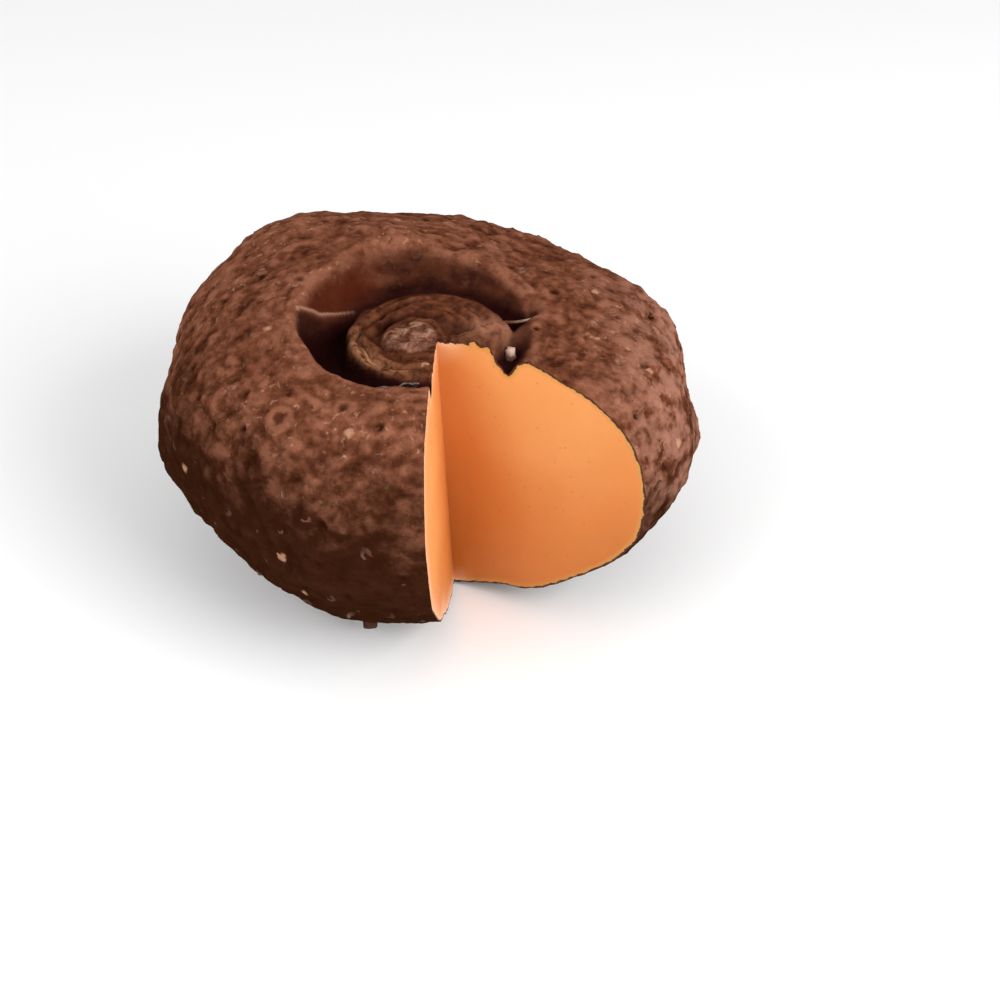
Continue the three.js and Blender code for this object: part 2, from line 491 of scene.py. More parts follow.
def addCrownColours(tree, place, mottle, colour):
    look = skinLook
    streaks = noise(tree, place, 0.0048, 3, 0.6, 0.4)
    grain = plus(tree, times(tree, streaks, 0.80), times(tree, attribute(tree, "rings"), 0.20))
    onMound = ramp(tree, grain, [(0.38, look["moundDark"]), (0.68, look["moundLight"])])
    colour = tinted(tree, colour, "mound", 0.9, onMound)
    onWall = ramp(tree, mottle, [(0.38, look["wallDark"]), (0.60, look["wall"])])
    colour = tinted(tree, colour, "wall", 0.88, onWall)
    # painted highlight along the mound's crest, only on its lower-left side
    colour = tinted(tree, colour, "litCrest", mapRange(tree, grain, 0.34, 0.62, 0.05, 1), look["litCrest"])
    colour = tinted(tree, colour, "lump", mapRange(tree, streaks, 0.32, 0.52, 0.45, 1), look["lump"])
    colour = tinted(tree, colour, "ledge", 0.92, look["ledge"])
    # painted highlight along the step's edge, in the bud lip's colour
    colour = tinted(tree, colour, "ledgeHighlight", 0.8, look["budLip"])
    onBud = ramp(tree, streaks, [(0.34, look["moundDark"]), (0.48, look["bud"]), (0.66, look["budLip"])])
    return tinted(tree, colour, "bud", 0.85, onBud)


def makeSkinMaterial():
    look = skinLook
    material, tree, shader = newMaterial("yamSkin")
    place = addNode(tree, "ShaderNodeTexCoord").outputs["Object"]
    parts = addNode(tree, "ShaderNodeSeparateXYZ", {0: place})
    layered = vectorCalc(tree, "MULTIPLY", place, (1, 1, 1.35))
    broad = noise(tree, place, 0.034, 3, 0.55)
    mottle = noise(tree, layered, 0.0095, 3, 0.58, 0.15)
    fine = noise(tree, layered, 0.0030, 3, 0.60)
    tone = plus(tree, times(tree, mottle, 0.50), times(tree, broad, 0.21), times(tree, fine, 0.29))
    cavity = attribute(tree, "cavity")
    # painted shade in hollows and painted highlight on what stands up, from the cavity attribute
    tone = plus(tree, tone, mapRange(tree, cavity, -0.0005, 0.0005, -0.09, 0.06))
    colour = ramp(tree, tone, [(0.34, look["dark"]), (0.47, look["middle"]), (0.62, look["pale"])])
    # dark spots of uneven size, and scuffed pale cork
    wander = scaled(tree, noise(tree, place, 0.004, 2, output="Color"), 0.005)
    shaken = vectorCalc(tree, "ADD", place, wander)
    spots = addNode(tree, "ShaderNodeTexVoronoi", {
        "Vector": vectorCalc(tree, "MULTIPLY", shaken, (0.75, 0.75, 1.3)), "Scale": 1 / 0.0100})
    seeded = addNode(tree, "ShaderNodeSeparateColor", {0: spots.outputs["Color"]})
    spotSize = mapRange(tree, seeded.outputs[0], 0.55, 1.0, -0.08, 0.22)
    fromSpot = calc(tree, "SUBTRACT", spots.outputs["Distance"], spotSize)
    colour = blend(tree, mapRange(tree, fromSpot, -0.10, 0.08, 0.60, 0), colour, look["dark"])
    scuffed = times(tree, mapRange(tree, noise(tree, shaken, 0.0032, 2, 0.5), 0.60, 0.72, 0, 0.55),
                    mapRange(tree, broad, 0.42, 0.60))
    colour = blend(tree, scuffed, colour, look["cork"])
    # paler towards +X: painted light on the side the light falls on
    litSideShare = times(tree, mapRange(tree, parts.outputs["X"], 0.065, 0.120, 0, 0.55),
                  mapRange(tree, mottle, 0.38, 0.58))
    colour = blend(tree, litSideShare, colour, look["litSide"])
    colour = tinted(tree, colour, "pit", 0.85, look["soilAndShade"])
    colour = addCrownColours(tree, place, mottle, colour)
    # painted shade in the hollows, and soil with painted shade over the lower part
    colour = blend(tree, mapRange(tree, cavity, -0.00025, -0.0013, 0, 0.85), colour, look["soilAndShade"])
    level = plus(tree, parts.outputs["Z"], times(tree, parts.outputs["X"], look["soilShadeTilt"]),
                 times(tree, parts.outputs["Y"], look["soilShadeFront"]),
                 mapRange(tree, broad, 0.3, 0.7, -0.010, 0.010),
                 mapRange(tree, mottle, 0.3, 0.7, -0.010, 0.010))
    low = mapRange(tree, level, look["soilShadeTop"], look["soilShadeBottom"], 0, look["soilShadeShare"])
    colour = blend(tree, low, colour, look["soilAndShade"])
    colour = addMarkColours(tree, place, colour)
    # painted shade, nearly black, in the ditch, the trough, the dimples and under the step
    colour = tinted(tree, colour, "ditch", 0.97, look["ditch"])
    tree.links.new(colour, shader.inputs["Base Color"])
    tree.links.new(mapRange(tree, mottle, 0.3, 0.7, 0.85, 0.62), shader.inputs["Roughness"])
    shader.inputs["Specular IOR Level"].default_value = 0.0
    relief = plus(tree, times(tree, mottle, 0.0010), times(tree, fine, 0.0006),
                  times(tree, noise(tree, place, 0.0009, 2), 0.00014))
    addBump(tree, shader, relief, 0.85)
    return material


fleshLook = dict(
    deep=(0.45, 0.134, 0.024),
    middle=(0.60, 0.200, 0.045),
    pale=(0.70, 0.295, 0.092),
    dots=(0.40, 0.115, 0.024),
    oliveRim=(0.52, 0.260, 0.062),
    pinkRim=(0.76, 0.430, 0.250),
    skinLine=(0.050, 0.016, 0.008),
    shadedCorner=(0.010, -0.030),      # painted shade in the flesh is deepest here, at the cut's inner corner
    rimWidth=0.0034,
    skinWidth=0.0009,
)


def makeFleshMaterial():
    look = fleshLook
    material, tree, shader = newMaterial("yamFlesh")
    place = addNode(tree, "ShaderNodeTexCoord").outputs["Object"]
    parts = addNode(tree, "ShaderNodeSeparateXYZ", {0: place})
    flat = vectorCalc(tree, "MULTIPLY", place, (1, 1, 0))
    fromShadedCorner = vectorCalc(tree, "DISTANCE", flat, (*look["shadedCorner"], 0), "Value")
    broad = noise(tree, place, 0.040, 2)
    cells = noise(tree, place, 0.0032, 3, 0.6)
    # painted shade: darker towards the cut's inner corner, towards the bottom and towards +X; then random
    # tone
    tone = plus(tree, mapRange(tree, fromShadedCorner, 0.0, 0.045, 0, 0.26),
                mapRange(tree, parts.outputs["Z"], 0.0, 0.125, 0, 0.58), times(tree, broad, 0.26),
                times(tree, cells, 0.10), mapRange(tree, parts.outputs["X"], 0.050, 0.095, 0, -0.24))
    colour = ramp(tree, tone, [(0.25, look["deep"]), (0.62, look["middle"]), (0.92, look["pale"])])
    fibres = addNode(tree, "ShaderNodeTexVoronoi", {"Vector": place, "Scale": 1 / 0.0060})
    dotted = mapRange(tree, fibres.outputs["Distance"], 0.05, 0.15, 0.30, 0)
    colour = blend(tree, dotted, colour, look["dots"])
    unevenEdge = mapRange(tree, cells, 0.3, 0.7, -0.0004, 0.0004)
    fromSkin = plus(tree, attribute(tree, "fromSkin"), unevenEdge)
    wander = mapRange(tree, broad, 0.3, 0.7, -0.002, 0.002)
    wideRim = mapRange(tree, plus(tree, fromSkin, wander), 0.012, 0.001)
    pinkSide = mapRange(tree, parts.outputs["X"], 0.022, 0.010)
    colour = blend(tree, times(tree, wideRim, pinkSide, 0.55), colour, look["pinkRim"])
    inRim = mapRange(tree, fromSkin, look["rimWidth"], 0.0010)
    rim = blend(tree, pinkSide, look["oliveRim"], look["pinkRim"])
    colour = blend(tree, times(tree, inRim, 0.75), colour, rim)
    inSkin = mapRange(tree, fromSkin, look["skinWidth"] * 1.25, look["skinWidth"] * 0.75)
    colour = blend(tree, inSkin, colour, look["skinLine"])
    tree.links.new(colour, shader.inputs["Base Color"])
    tree.links.new(mapRange(tree, cells, 0.3, 0.7, 0.48, 0.62), shader.inputs["Roughness"])
    shader.inputs["Specular IOR Level"].default_value = 0.22
    shader.inputs["Subsurface Weight"].default_value = 0.12
    shader.inputs["Subsurface Radius"].default_value = (0.006, 0.0025, 0.001)
    shader.inputs["Subsurface Scale"].default_value = 1.0
    addBump(tree, shader, plus(tree, times(tree, cells, 0.00025), times(tree, broad, 0.0015)), 0.5)
    return material


corkLook = dict(
    base=(0.120, 0.042, 0.020),
    top=(0.185, 0.076, 0.043),
    torn=(0.58, 0.400, 0.300),
    soilAndShade=(0.026, 0.009, 0.004),
)


def makeCorkMaterial(name, tornShare):
    # For what stands on the skin: its colour runs from the base up to a torn top.
    look = corkLook
    material, tree, shader = newMaterial(name)
    place = addNode(tree, "ShaderNodeTexCoord").outputs["Object"]
    parts = addNode(tree, "ShaderNodeSeparateXYZ", {0: place})
    mottle = noise(tree, place, 0.0036, 3)
    top = blend(tree, times(tree, attribute(tree, "tone"), tornShare), look["top"], look["torn"])
    colour = blend(tree, mapRange(tree, attribute(tree, "rise"), 0.25, 0.95), look["base"], top)
    colour = blend(tree, mapRange(tree, mottle, 0.45, 0.66, 0, 0.7), colour, look["soilAndShade"])
    # soil and painted shade over the lower part, as on the skin
    level = plus(tree, parts.outputs["Z"], times(tree, parts.outputs["X"], skinLook["soilShadeTilt"]))
    low = mapRange(tree, level, skinLook["soilShadeTop"], skinLook["soilShadeBottom"], 0, 0.72)
    colour = blend(tree, low, colour, look["soilAndShade"])
    tree.links.new(colour, shader.inputs["Base Color"])
    shader.inputs["Roughness"].default_value = 0.8
    shader.inputs["Specular IOR Level"].default_value = 0.12
    addBump(tree, shader, times(tree, mottle, 0.0008), 1.0)
    return material


sheathLook = dict(
    dark=(0.020, 0.008, 0.010),
    middle=(0.085, 0.028, 0.017),
    edge=(0.21, 0.130, 0.120),
)


def makeSheathMaterial():
    # Dry papery leaf bases, paler along their upper edge: partly wear, partly a painted glint.
    look = sheathLook
    material, tree, shader = newMaterial("drySheath")
    place = addNode(tree, "ShaderNodeTexCoord").outputs["Object"]
    fibres = noise(tree, vectorCalc(tree, "MULTIPLY", place, (1, 1, 3)), 0.0035, 3, 0.6, 0.5)
    colour = ramp(tree, fibres, [(0.36, look["dark"]), (0.64, look["middle"])])
    wornAndGlint = times(tree, mapRange(tree, attribute(tree, "rise"), 0.80, 1.0),
                 mapRange(tree, fibres, 0.35, 0.6, 0.2, 0.9))
    colour = blend(tree, wornAndGlint, colour, look["edge"])
    tree.links.new(colour, shader.inputs["Base Color"])
    tree.links.new(mapRange(tree, fibres, 0.3, 0.7, 0.34, 0.6), shader.inputs["Roughness"])
    shader.inputs["Specular IOR Level"].default_value = 0.5
    addBump(tree, shader, times(tree, fibres, 0.0010), 0.7)
    return material


skinMaterial = makeSkinMaterial()
fleshMaterial = makeFleshMaterial()
scarMaterial = makeCorkMaterial("rootScarCork", 0.25)
rootMaterial = makeCorkMaterial("driedRoot", 0.8)
sheathMaterial = makeSheathMaterial()
print("materials made")


# The wedge that is cut out.
wedge = dict(
    innerEdgeBottom=(0.011, -0.035),
    innerEdgeTop=(0.005, -0.023),
    innerEdgeRise=0.130,
    narrowFaceAzimuth=-92.5,    # degrees, the way each cut face runs outwards
    wideFaceAzimuth=-28,
    reach=0.168,
    bottom=-0.012,
    top=0.168,
    step=0.0024,                # grid on the cut faces
    knifeWave=0.00022,          # how far the knife wandered
)


def edgePoint(height):
    share = height / wedge["innerEdgeRise"]
    low, high = np.array(wedge["innerEdgeBottom"]), np.array(wedge["innerEdgeTop"])
    return low + np.multiply.outer(share, high - low)


def faceDirection(azimuth):
    turn = math.radians(azimuth)
    return np.array([math.cos(turn), math.sin(turn)])


def insideWedge(points, margin):
    # True where a point is in the wedge, or nearer to it than the margin.
    fromEdge = points[:, :2] - edgePoint(points[:, 2])
    narrow, wide = faceDirection(wedge["narrowFaceAzimuth"]), faceDirection(wedge["wideFaceAzimuth"])
    pastNarrow = fromEdge[:, 1] * narrow[0] - fromEdge[:, 0] * narrow[1]
    pastWide = wide[1] * fromEdge[:, 0] - wide[0] * fromEdge[:, 1]
    return (pastNarrow > -margin) & (pastWide > -margin)


def makeCutter():
    # A three-sided prism round the leaning inner edge, with finely gridded cut faces.
    heights = np.arange(wedge["bottom"], wedge["top"], wedge["step"])
    along = np.arange(wedge["step"], wedge["reach"], wedge["step"])
    narrow, wide = faceDirection(wedge["narrowFaceAzimuth"]), faceDirection(wedge["wideFaceAzimuth"])
    columns = [(distance, narrow) for distance in along[::-1]] + [(0, narrow)]
    columns += [(distance, wide) for distance in along]
    points = []
    for height in heights:
        edge = edgePoint(height)
        for distance, direction in columns:
            sideways = np.array([-direction[1], direction[0]])
            wander = math.sin(distance * 95 + height * 22) + 0.6 * math.sin(height * 160 - distance * 40)
            wander *= wedge["knifeWave"] * min(1, distance / 0.01)
            points.append((*(edge + direction * distance + sideways * wander), height))
    count = len(columns)
    faces = []
    for row in range(len(heights) - 1):
        start = row * count
        for column in range(count):
            here, beside = start + column, start + (column + 1) % count
            faces.append((beside, here, here + count, beside + count))
    faces.append(tuple(range(count)))
    faces.append(tuple(range(len(points) - count, len(points)))[::-1])
    cutter = newObject("cutter", points, faces, [fleshMaterial, fleshMaterial])
    cutter.data.polygons.foreach_set("material_index", [1] * len(faces))
    return cutter


# The skin's grid, then its relief, root scars and dried roots.
skinRelief = dict(
    lumpSize=0.040, lumpHeight=0.0022,
    knobSize=0.0125, knobHeight=0.0011,
    wartSize=0.0080, wartHeight=0.0011,
    wrinkleSpacing=0.0062, wrinkleHeight=0.00028,
    scarSpacing=0.0135, scarRadiusLeast=0.0009, scarRadiusMost=0.0025, scarRise=0.00040,
    pitSpacing=0.0190, pitRadius=0.0018, pitDepth=0.0011,
    rootSpacing=0.042, rootRadiusLeast=0.0007, rootRadiusMost=0.0012,
    seed=7,
)


def makeSkinGrid():
    columns, rows = cormBody["aroundSteps"], cormBody["rows"]
    fromPole = np.repeat(np.linspace(0, math.pi, rows + 1)[1:-1], columns)
    turn = np.tile(np.linspace(0, 2 * math.pi, columns, endpoint=False), rows - 1)
    fromPole = np.concatenate([[0], fromPole, [math.pi]])
    turn = np.concatenate([[0], turn, [0]])
    directions = gridDirections(fromPole, turn)
    points, places = skinForm(directions)
    addMarks(points, directions)
    points[:, 2] = np.maximum(points[:, 2], 0)
    column = np.arange(columns)
    following = (column + 1) % columns
    faces = [(0, 1 + a, 1 + b) for a, b in zip(column, following)]
    for row in range(rows - 2):
        upper, lower = 1 + row * columns, 1 + (row + 1) * columns
        faces += [(upper + a, lower + a, lower + b, upper + b) for a, b in zip(column, following)]
    last, bottom = 1 + (rows - 2) * columns, len(points) - 1
    faces += [(last + a, bottom, last + b) for a, b in zip(column, following)]
    grid = newObject("cut_corm", points, faces, [skinMaterial, fleshMaterial, scarMaterial, rootMaterial])
    fromCrown = np.hypot(points[:, 0] - crown["centre"][0], points[:, 1] - crown["centre"][1])
    onTop = points[:, 2] > crown["startHeight"]
    inCrown = onTop & (fromCrown < crown["rimRadius"])
    wrinkled = np.where(onTop, 1 - smoothStep(fromCrown, crown["rimRadius"], 0.105), 0) + 0.2
    resting = smoothStep(points[:, 2], 0.0002, 0.004)
    room = (~insideWedge(points, 0.004)) & (points[:, 2] > 0.005)
    room &= ~(onTop & (fromCrown < crown["rimRadius"] + 0.002))
    for name, values in places.items():
        addAttribute(grid, name, values)
    addAttribute(grid, "wrinkled", np.where(inCrown, 0.6, wrinkled) * resting)
    addAttribute(grid, "lumpy", np.where(inCrown, 0.80, 1.0) * resting)
    addAttribute(grid, "scarRoom", room)
    rootsGrow = (1 - smoothStep(points[:, 2], 0.050, 0.095)) * (points[:, 2] > 0.014)
    addAttribute(grid, "rootRoom", room * rootsGrow)
    shadeSmooth(grid)
    return grid


def turnedShape(name, profile, sides, rises):
    # A closed shape turned from (radius, height, sideways) rows, with its colour rise at each row.
    angles = np.linspace(0, 2 * math.pi, sides, endpoint=False)
    points = [(r * math.cos(t) + aside, r * math.sin(t), z) for r, z, aside in profile for t in angles]
    faces = []
    for ring in range(len(profile) - 1):
        for side in range(sides):
            following = (side + 1) % sides
            outer, inner = ring * sides, (ring + 1) * sides
            faces.append((outer + side, outer + following, inner + following, inner + side))
    faces.append(tuple(range(sides))[::-1])
    faces.append(tuple(range(len(points) - sides, len(points))))
    shape = newObject(name, points, faces)
    addAttribute(shape, "rise", np.repeat(rises, sides))
    shadeSmooth(shape)
    return shape


def makeScarShape():
    # A low collar with a sunken middle. Its radius is 1, and it is scaled for each place.
    profile = [(1.25, -0.25, 0), (0.98, 0.0, 0), (0.68, 0.12, 0), (0.42, 0.04, 0), (0.18, -0.03, 0)]
    return turnedShape("scarShape", profile, 9, [0.0, 0.25, 0.75, 0.60, 0.35])


def makeRootShape():
    # A dried root broken off short, thick where it leaves the skin.
    profile = [(1.9, -0.6, 0), (1.4, 0.2, 0), (1.0, 0.8, 0.1), (0.9, 1.5, 0.3), (0.5, 1.9, 0.45)]
    return turnedShape("rootShape", profile, 7, [0.0, 0.2, 0.45, 0.8, 1.0])


def makeReliefTree(scarShape, rootShape):
    tree = bpy.data.node_groups.new("skinRelief", "GeometryNodeTree")
    tree.is_modifier = True
    tree.interface.new_socket("Geometry", in_out="INPUT", socket_type="NodeSocketGeometry")
    tree.interface.new_socket("Geometry", in_out="OUTPUT", socket_type="NodeSocketGeometry")
    identifiers = {}
    for name, value in skinRelief.items():
        kind = "NodeSocketInt" if name == "seed" else "NodeSocketFloat"
        identifiers[groupInput(tree, name, kind, value)] = value
    given = addNode(tree, "NodeGroupInput").outputs
    place = addNode(tree, "GeometryNodeInputPosition").outputs[0]
    normal = addNode(tree, "GeometryNodeInputNormal").outputs[0]

    def named(name):
        node = addNode(tree, "GeometryNodeInputNamedAttribute", {"Name": name}, data_type="FLOAT")
        return node.outputs[0]

    def changed(kind, geometry, settings=None, **values):
        # What a node makes of the geometry it is given.
        node = addNode(tree, "GeometryNode" + kind, {"Geometry": geometry, **values}, **(settings or {}))
        return node.outputs[0]

    def store(geometry, name, value, domain="POINT"):
        settings = dict(data_type="FLOAT", domain=domain)
        return changed("StoreNamedAttribute", geometry, settings, Name=name, Value=value)

    def centredNoise(size, detail, height):
        values = {"Vector": place, "Scale": calc(tree, "DIVIDE", 1.0, size), "Detail": detail}
        node = addNode(tree, "ShaderNodeTexNoise", values)
        return times(tree, calc(tree, "SUBTRACT", node.outputs[0], 0.5), height, 3.0)

    def plusVector(vector, other, factor):
        return vectorCalc(tree, "ADD", vector, scaled(tree, other, factor))

    # broad lumps, small knobs, and wrinkles in rings round the crown
    lumps = plus(tree, centredNoise(given["lumpSize"], 1.0, given["lumpHeight"]),
                 centredNoise(given["knobSize"], 3.0, given["knobHeight"]))
    flat = vectorCalc(tree, "MULTIPLY", place, (1, 1, 0))
    fromCrown = vectorCalc(tree, "DISTANCE", flat, (*crown["centre"], 0), "Value")
    warp = centredNoise(given["lumpSize"], 2.0, 0.004)
    wave = calc(tree, "DIVIDE", plus(tree, fromCrown, warp), given["wrinkleSpacing"])
    wave = calc(tree, "SINE", times(tree, wave, 2 * math.pi))
    broken = mapRange(tree, noise(tree, place, 0.016), 0.40, 0.62)
    wrinkles = times(tree, wave, given["wrinkleHeight"], named("wrinkled"), broken)
    # rounded warts with creases between them, in patches
    warts = addNode(tree, "ShaderNodeTexVoronoi", {
        "Vector": plusVector(place, noise(tree, place, 0.010, 1, output="Color"), 0.004),
        "Scale": calc(tree, "DIVIDE", 1.0, given["wartSize"]), "Smoothness": 0.35}, feature="SMOOTH_F1")
    warty = times(tree, mapRange(tree, warts.outputs["Distance"], 0.62, 0.12), given["wartHeight"],
                  mapRange(tree, noise(tree, place, 0.030, 1), 0.40, 0.60, 0.35, 1.0))
    lumps = plus(tree, lumps, warty)
    offset = scaled(tree, normal, plus(tree, times(tree, lumps, named("lumpy")), wrinkles))
    skin = changed("SetPosition", given["Geometry"], Offset=offset)

    def scatter(spacing, seedStep, room):
        return addNode(tree, "GeometryNodeDistributePointsOnFaces", {
            "Mesh": skin, "Distance Min": spacing, "Density Max": 60000.0, "Density Factor": named(room),
            "Seed": calc(tree, "ADD", given["seed"], seedStep)}, distribute_method="POISSON")

    def nearest(points, radius):
        near = addNode(tree, "GeometryNodeProximity", {"Target": points}, target_element="POINTS")
        share = calc(tree, "DIVIDE", near.outputs["Distance"], radius)
        return calc(tree, "EXPONENT", times(tree, share, share, -1.0))

    def randomVector(low, high, seed):
        return addNode(tree, "FunctionNodeRandomValue", {0: low, 1: high, "Seed": seed},
                       data_type="FLOAT_VECTOR").outputs[0]

    def randomNumber(low, high, seed):
        values = {2: low, 3: high, "Seed": seed}
        return addNode(tree, "FunctionNodeRandomValue", values, data_type="FLOAT").outputs[1]

    def standOn(points, shape, radius, stretch, lean, material):
        # One shape on each point, each with its own size, turn, lean and tone.
        size = scaled(tree, randomVector(*stretch, 21), radius)
        solid = addNode(tree, "GeometryNodeObjectInfo", {"Object": shape}).outputs["Geometry"]
        copies = addNode(tree, "GeometryNodeInstanceOnPoints", {
            "Points": points.outputs["Points"], "Instance": solid, "Rotation": points.outputs["Rotation"],
            "Scale": size}).outputs[0]
        spin = randomVector((-lean, -lean, 0), (lean, lean, 2 * math.pi), 33)
        values = {"Instances": copies, "Rotation": spin}
        copies = addNode(tree, "GeometryNodeRotateInstances", values).outputs[0]
        tone = calc(tree, "POWER", randomNumber(0.0, 1.0, 45), 2.5)
        copies = store(copies, "tone", tone, "INSTANCE")
        copies = changed("RealizeInstances", copies)
        copies = changed("SetPosition", copies, Offset=shake(tree, place, 0.003, 1, 0.0018))
        return changed("SetMaterial", copies, Material=material)

    scarPoints = scatter(given["scarSpacing"], 0, "scarRoom")
    pitPoints = scatter(given["pitSpacing"], 5, "scarRoom")
    rootPoints = scatter(given["rootSpacing"], 9, "rootRoom")
    scarHere = nearest(scarPoints.outputs["Points"], given["scarRadiusMost"])
    pitHere = nearest(pitPoints.outputs["Points"], given["pitRadius"])
    pitHere = times(tree, pitHere, calc(tree, "SUBTRACT", 1.0, scarHere, clamp=True))
    pitHere = times(tree, pitHere, mapRange(tree, noise(tree, place, 0.02, 1), 0.38, 0.60, 0.1, 1.0))
    stored = store(skin, "pit", pitHere)
    depth = calc(tree, "SUBTRACT", times(tree, scarHere, given["scarRise"]),
                 times(tree, named("pit"), given["pitDepth"]))
    shaped = changed("SetPosition", stored, Offset=scaled(tree, normal, depth))
    # how far each place stands above or below what is round it
    around = addNode(tree, "GeometryNodeBlurAttribute", {"Iterations": 7}, data_type="FLOAT_VECTOR")
    tree.links.new(place, around.inputs[0])
    above = vectorCalc(tree, "SUBTRACT", place, around.outputs[0])
    shaped = store(shaped, "cavity", vectorCalc(tree, "DOT_PRODUCT", above, normal, "Value"))
    shaped = changed("SetMaterial", shaped, Material=skinMaterial)

    scarRadius = calc(tree, "POWER", randomNumber(0.0, 1.0, 3), 1.6)
    scarRadius = mapRange(tree, scarRadius, 0.0, 1.0, given["scarRadiusLeast"], given["scarRadiusMost"])
    scarStretch = ((0.8, 0.8, 0.5), (1.3, 1.3, 1.3))
    scars = standOn(scarPoints, scarShape, scarRadius, scarStretch, 0.14, scarMaterial)
    rootRadius = randomNumber(given["rootRadiusLeast"], given["rootRadiusMost"], 4)
    rootStretch = ((0.8, 0.8, 0.5), (1.2, 1.2, 1.4))
    roots = standOn(rootPoints, rootShape, rootRadius, rootStretch, 0.6, rootMaterial)
    joined = addNode(tree, "GeometryNodeJoinGeometry")
    for geometry in (shaped, scars, roots):
        tree.links.new(geometry, joined.inputs[0])
    result = addNode(tree, "NodeGroupOutput")
    tree.links.new(joined.outputs[0], result.inputs[0])
    return tree, identifiers


def keepFaces(source, target, index, wanted):
    # Writes to the target mesh the faces that have the material, or all the others.
    work = bmesh.new()
    work.from_mesh(source)
    unwanted = [face for face in work.faces if (face.material_index == index) != wanted]
    bmesh.ops.delete(work, geom=unwanted, context="FACES")
    work.to_mesh(target)
    work.free()


def splitByMaterial(made, material, name):
    # Faces of one material become a piece of their own.
    index = list(made.data.materials).index(material)
    part = bpy.data.meshes.new(name)
    keepFaces(made.data, part, index, True)
    keepFaces(made.data, made.data, index, False)
    part.materials.clear()
    part.materials.append(material)
    part.polygons.foreach_set("material_index", [0] * len(part.polygons))
    piece = bpy.data.objects.new(name, part)
    bpy.context.scene.collection.objects.link(piece)
    return piece


corm = makeSkinGrid()
scarShape = makeScarShape()
rootShape = makeRootShape()
reliefTree, reliefValues = makeReliefTree(scarShape, rootShape)
addNodesModifier(corm, reliefTree, reliefValues)
takeResult(corm)
rootScars = splitByMaterial(corm, scarMaterial, "root_scars")
driedRoots = splitByMaterial(corm, rootMaterial, "dried_roots")
bpy.data.objects.remove(scarShape)
bpy.data.objects.remove(rootShape)
print("skin shaped:", len(corm.data.polygons), "faces;", len(rootScars.data.polygons), "on root scars;",
      len(driedRoots.data.polygons), "on dried roots")


def cutWedge():
    cutter = makeCutter()
    corm.data.materials.clear()
    corm.data.materials.append(skinMaterial)
    corm.data.materials.append(fleshMaterial)
    corm.data.polygons.foreach_set("material_index", [0] * len(corm.data.polygons))
    cut = corm.modifiers.new("cut", "BOOLEAN")
    cut.operation = "DIFFERENCE"
    cut.solver = "MANIFOLD"
    cut.object = cutter
    takeResult(corm)
    bpy.data.objects.remove(cutter)


def finishCut():
    # The cut's border is a sharp edge, and each point of the flesh knows how far it is from the skin.
    mesh = corm.data
    work = bmesh.new()
    work.from_mesh(mesh)
    work.normal_update()
    border = set()
    for edge in work.edges:
        if len(edge.link_faces) != 2:
            continue
        first, second = edge.link_faces
        if first.material_index != second.material_index:
            edge.smooth = False
            border.update(edge.verts)
        elif first.material_index == 1 and first.normal.angle(second.normal, 0) > 0.5:
            edge.smooth = False
    tree = KDTree(len(border))
    for vertex in border:
        tree.insert(vertex.co, vertex.index)
    tree.balance()
    layer = work.verts.layers.float.new("fromSkin")
    for vertex in work.verts:
        if any(face.material_index == 1 for face in vertex.link_faces):
            vertex[layer] = tree.find(vertex.co)[2]
    work.to_mesh(mesh)
    work.free()


cutWedge()
finishCut()
shadeSmooth(corm)
print("wedge cut:", len(corm.data.polygons), "faces")


# Dry leaf bases left in the ditch round the bud, and the broken roots beside them.
sheath = dict(thickness=0.0006, sunk=0.0015, curl=0.0008, rows=6, columns=18)
sheathPlaces = [                    # turn, degrees long, radius, height, outward lean
    (-131, 22, 0.0425, 0.0026, 0.0016), (-108, 18, 0.0392, 0.0024, 0.0014),
    (-94, 13, 0.0384, 0.0020, 0.0012), (-148, 16, 0.0440, 0.0022, 0.0014),
]
strand = dict(start=(0.0350, -0.0060), end=(0.0470, -0.0040), sag=0.0006, radius=0.0008)
crownStub = dict(centre=(0.0372, -0.0298), radius=0.0021, height=0.0058)
baseStub = dict(
    start=(-0.027, -0.064, 0.013),
    lean=30,                        # degrees down from level
    length=0.0115,
    baseRadius=0.0044,
    tipRadius=0.0032,
)


def surfaceFinder(made):
    mesh = made.data
    tree = BVHTree.FromPolygons([v.co for v in mesh.vertices], [p.vertices for p in mesh.polygons])

    def heightAt(x, y):
        hit = tree.ray_cast(Vector((x, y, 0.3)), Vector((0, 0, -1)))[0]
        return hit.z if hit else 0.0
    return heightAt


def crownPlace(radius, turn):
    turn = math.radians(turn)
    return crown["centre"][0] + radius * math.cos(turn), crown["centre"][1] + radius * math.sin(turn)


class Shape:
    # Collects closed parts, each with its colour rise and its tone, into one mesh.
    def __init__(self):
        self.points, self.faces, self.rises, self.tones = [], [], [], []

    def add(self, points, faces, rises, tone=1.0):
        start = len(self.points)
        self.points += [tuple(p) for p in points]
        self.faces += [tuple(start + index for index in face) for face in faces]
        self.rises += list(rises)
        self.tones += [tone] * len(points)

    def finish(self, name, material):
        made = newObject(name, self.points, self.faces, [material])
        addAttribute(made, "rise", self.rises)
        addAttribute(made, "tone", self.tones)
        shadeSmooth(made)
        work = bmesh.new()
        work.from_mesh(made.data)
        bmesh.ops.recalc_face_normals(work, faces=work.faces)
        work.to_mesh(made.data)
        work.free()
        return made


